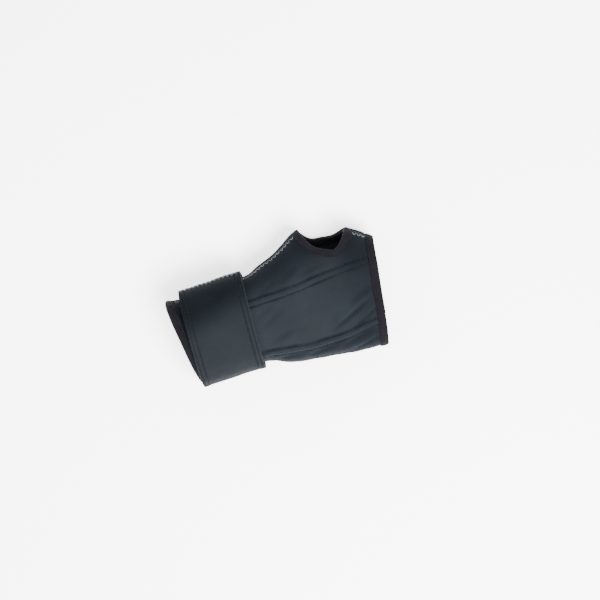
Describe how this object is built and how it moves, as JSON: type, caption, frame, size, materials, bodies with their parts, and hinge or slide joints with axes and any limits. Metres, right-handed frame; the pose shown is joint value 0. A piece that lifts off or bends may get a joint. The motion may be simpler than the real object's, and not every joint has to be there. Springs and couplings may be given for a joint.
{
  "type": "wrist splint",
  "caption": "Left wrist splint: sewn neoprene sleeve with thumb hole, bound edges, a palmar stay in its pocket and a wide wrap-round wrist strap.",
  "frame": {"origin": "under the centre of the whole splint, on the surface that its dorsal side lies on", "axes": "+X towards the fingers along the hand, +Y towards the thumb, +Z out of the palm"},
  "size_m": [0.1662, 0.1052, 0.058],
  "materials": {
    "shell_fabric": "matte",
    "strap_fabric": "matte",
    "binding_tape": "matte",
    "seam_tape": "matte",
    "pocket_fabric": "matte",
    "loop_fabric": "matte",
    "hook_tape": "matte",
    "stay_metal": "satin",
    "stay_tip": "satin"
  },
  "bodies": {
    "sleeve": {"ulnar_panel": "shell_fabric", "palmar_panel": "shell_fabric", "thenar_panel": "shell_fabric", "dorsal_panel": "shell_fabric", "strap_base": "strap_fabric", "strap_backing": "strap_fabric", "distal_binding": "binding_tape", "proximal_binding": "binding_tape", "thumb_binding": "binding_tape", "radial_ridge": "seam_tape", "ulnar_ridge": "seam_tape", "dorsal_seam": "seam_tape", "side_seam": "seam_tape", "stay_pocket": "pocket_fabric", "loop_patch": "loop_fabric"},
    "strap_ulnar": {"strap_ulnar": "strap_fabric"},
    "strap_palm_ulnar": {"strap_palm_ulnar": "strap_fabric"},
    "strap_palm_radial": {"strap_palm_radial": "strap_fabric"},
    "strap_radial_top": {"strap_radial_top": "strap_fabric"},
    "strap_radial_side": {"strap_radial_side": "strap_fabric"},
    "strap_tab": {"strap_tab": "strap_fabric", "hook_pad": "hook_tape"},
    "stay": {"palmar_stay": "stay_metal", "stay_tips": "stay_tip"}
  },
  "joints": [
    {"name": "strap_ulnar_fold", "type": "hinge", "parent": "sleeve", "child": "strap_ulnar", "pos_m": [-0.04937, -0.04356, 0.0288], "axis": [0.9984, 0.0311, -0.0465], "range_deg": [0, 20]},
    {"name": "strap_palm_ulnar_fold", "type": "hinge", "parent": "strap_ulnar", "child": "strap_palm_ulnar", "pos_m": [-0.04937, -0.03189, 0.05148], "axis": [0.9963, 0.0206, -0.0829], "range_deg": [0, 30]},
    {"name": "strap_palm_radial_fold", "type": "hinge", "parent": "strap_palm_ulnar", "child": "strap_palm_radial", "pos_m": [-0.04937, -0.00884, 0.05565], "axis": [0.996, 0, -0.0896], "range_deg": [0, 30]},
    {"name": "strap_radial_top_fold", "type": "hinge", "parent": "strap_palm_radial", "child": "strap_radial_top", "pos_m": [-0.04937, 0.01873, 0.05087], "axis": [0.9942, 0.0699, -0.0818], "range_deg": [0, 60]},
    {"name": "strap_radial_side_fold", "type": "hinge", "parent": "strap_radial_top", "child": "strap_radial_side", "pos_m": [-0.04937, 0.03075, 0.03173], "axis": [0.9936, 0.1004, -0.051], "range_deg": [0, 50]},
    {"name": "strap_tab_fold", "type": "hinge", "parent": "strap_radial_side", "child": "strap_tab", "pos_m": [-0.04937, 0.02944, 0.01233], "axis": [0.9951, 0.0972, -0.0198], "range_deg": [0, 60]},
    {"name": "palmar_stay_slide", "type": "slide", "parent": "sleeve", "child": "stay", "axis": [-0.996, 0, 0.0896], "range_m": [0, 0.14]}
  ],
  "couplings": [
    {"joint": "strap_palm_ulnar_fold", "follows": "strap_ulnar_fold", "ratio": 1.5},
    {"joint": "strap_palm_radial_fold", "follows": "strap_ulnar_fold", "ratio": 1.5},
    {"joint": "strap_radial_top_fold", "follows": "strap_ulnar_fold", "ratio": 3},
    {"joint": "strap_radial_side_fold", "follows": "strap_ulnar_fold", "ratio": 2.5},
    {"joint": "strap_tab_fold", "follows": "strap_ulnar_fold", "ratio": 3}
  ]
}
